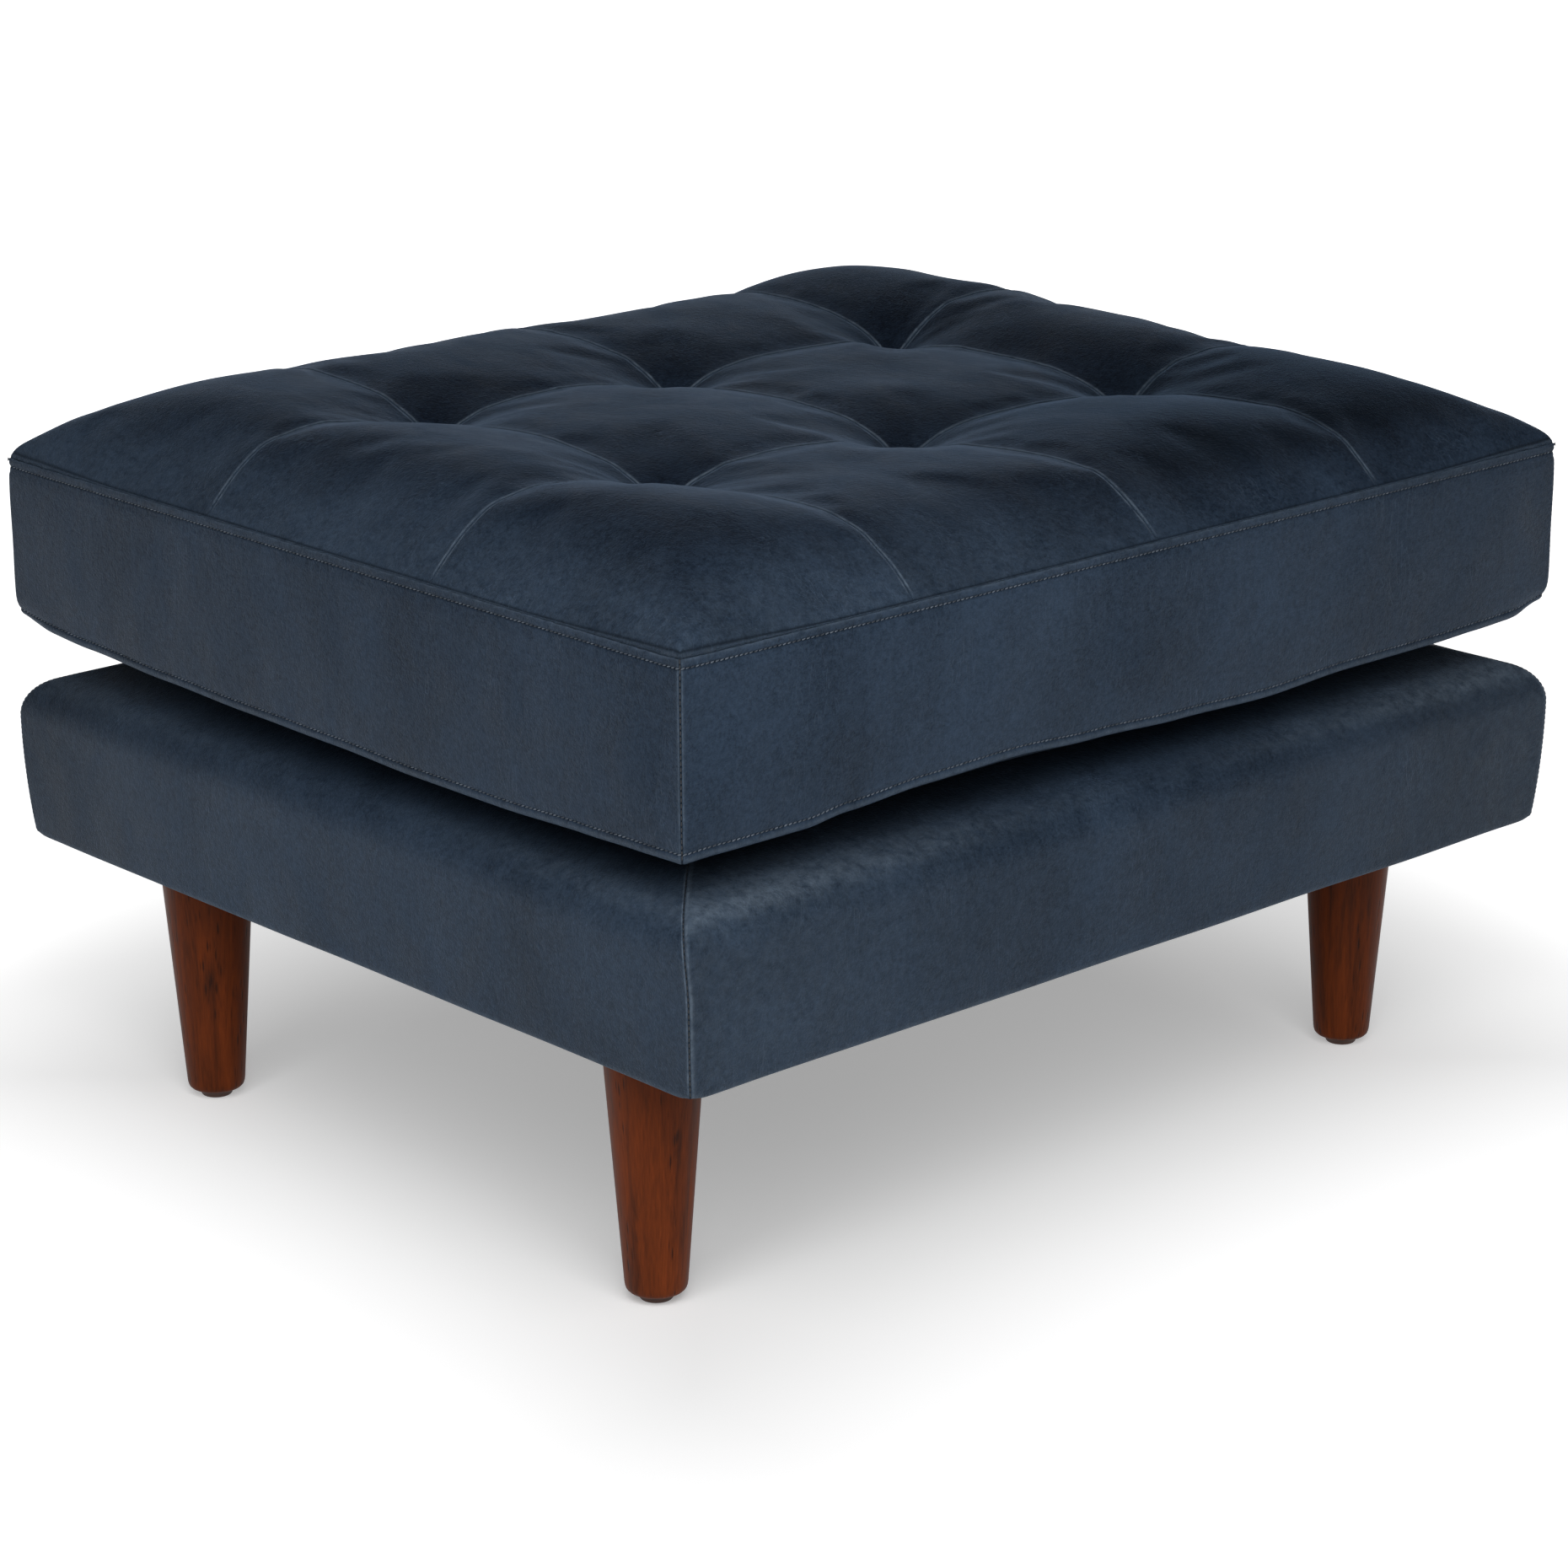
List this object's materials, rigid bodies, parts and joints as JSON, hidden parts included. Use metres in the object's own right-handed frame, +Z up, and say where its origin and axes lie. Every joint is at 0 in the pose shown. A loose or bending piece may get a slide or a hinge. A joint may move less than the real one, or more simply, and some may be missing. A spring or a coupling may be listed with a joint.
{
  "type": "tufted leather footstool",
  "caption": "Upholstered footstool with a loose, tufted box cushion on a leather-covered base with tapered wooden legs; a foot rest, seat or soft low table.",
  "frame": {"origin": "on the floor, under the middle of the footstool", "axes": "+X to the right along the long side, +Y towards the back, +Z up"},
  "size_m": [0.738, 0.644, 0.4599],
  "materials": {
    "leather": "satin",
    "leg_wood": "satin",
    "glide_plastic": "matte",
    "steel": "satin",
    "frame_wood": "matte",
    "webbing": "matte",
    "foam": "matte",
    "fibre": "matte",
    "deck_cloth": "matte",
    "dust_cloth": "matte",
    "twine": "matte",
    "zip_tape": "matte",
    "zip_coil": "matte",
    "zip_metal": "satin"
  },
  "bodies": {
    "base": {"front_legs": "leg_wood", "back_legs": "leg_wood", "leg_glides": "glide_plastic", "glide_nails": "steel", "leg_bolts": "steel", "leg_nuts": "steel", "front_rail": "frame_wood", "back_rail": "frame_wood", "left_rail": "frame_wood", "right_rail": "frame_wood", "left_leg_board": "frame_wood", "right_leg_board": "frame_wood", "centre_stretcher": "frame_wood", "corner_blocks": "frame_wood", "frame_dowels": "frame_wood", "webbing_long": "webbing", "webbing_cross": "webbing", "deck_foam": "foam", "deck_cloth": "deck_cloth", "padding_front": "foam", "padding_back": "foam", "padding_left": "foam", "padding_right": "foam", "cover_front": "leather", "cover_back": "leather", "cover_left": "leather", "cover_right": "leather", "dust_cover": "dust_cloth"},
    "cushion": {"top_panels_front": "leather", "top_panels_middle": "leather", "top_panels_back": "leather", "boxing_front": "leather", "boxing_back": "leather", "boxing_left": "leather", "boxing_right": "leather", "bottom_panel": "leather", "bottom_rear_panel": "leather", "fibre_wrap": "fibre", "cushion_foam": "foam", "tuft_twines": "twine", "tuft_tabs": "twine", "zip_tapes": "zip_tape", "zip_coils": "zip_coil", "zip_stops": "zip_metal"},
    "zip_slider": {"zip_slider": "zip_metal"}
  },
  "joints": [
    {"name": "cushion_lift", "type": "slide", "parent": "base", "child": "cushion", "axis": [0, 0, 1], "range_m": [0, 0.12]},
    {"name": "zip_travel", "type": "slide", "parent": "cushion", "child": "zip_slider", "axis": [1, 0, 0], "range_m": [0, 0.54]}
  ]
}
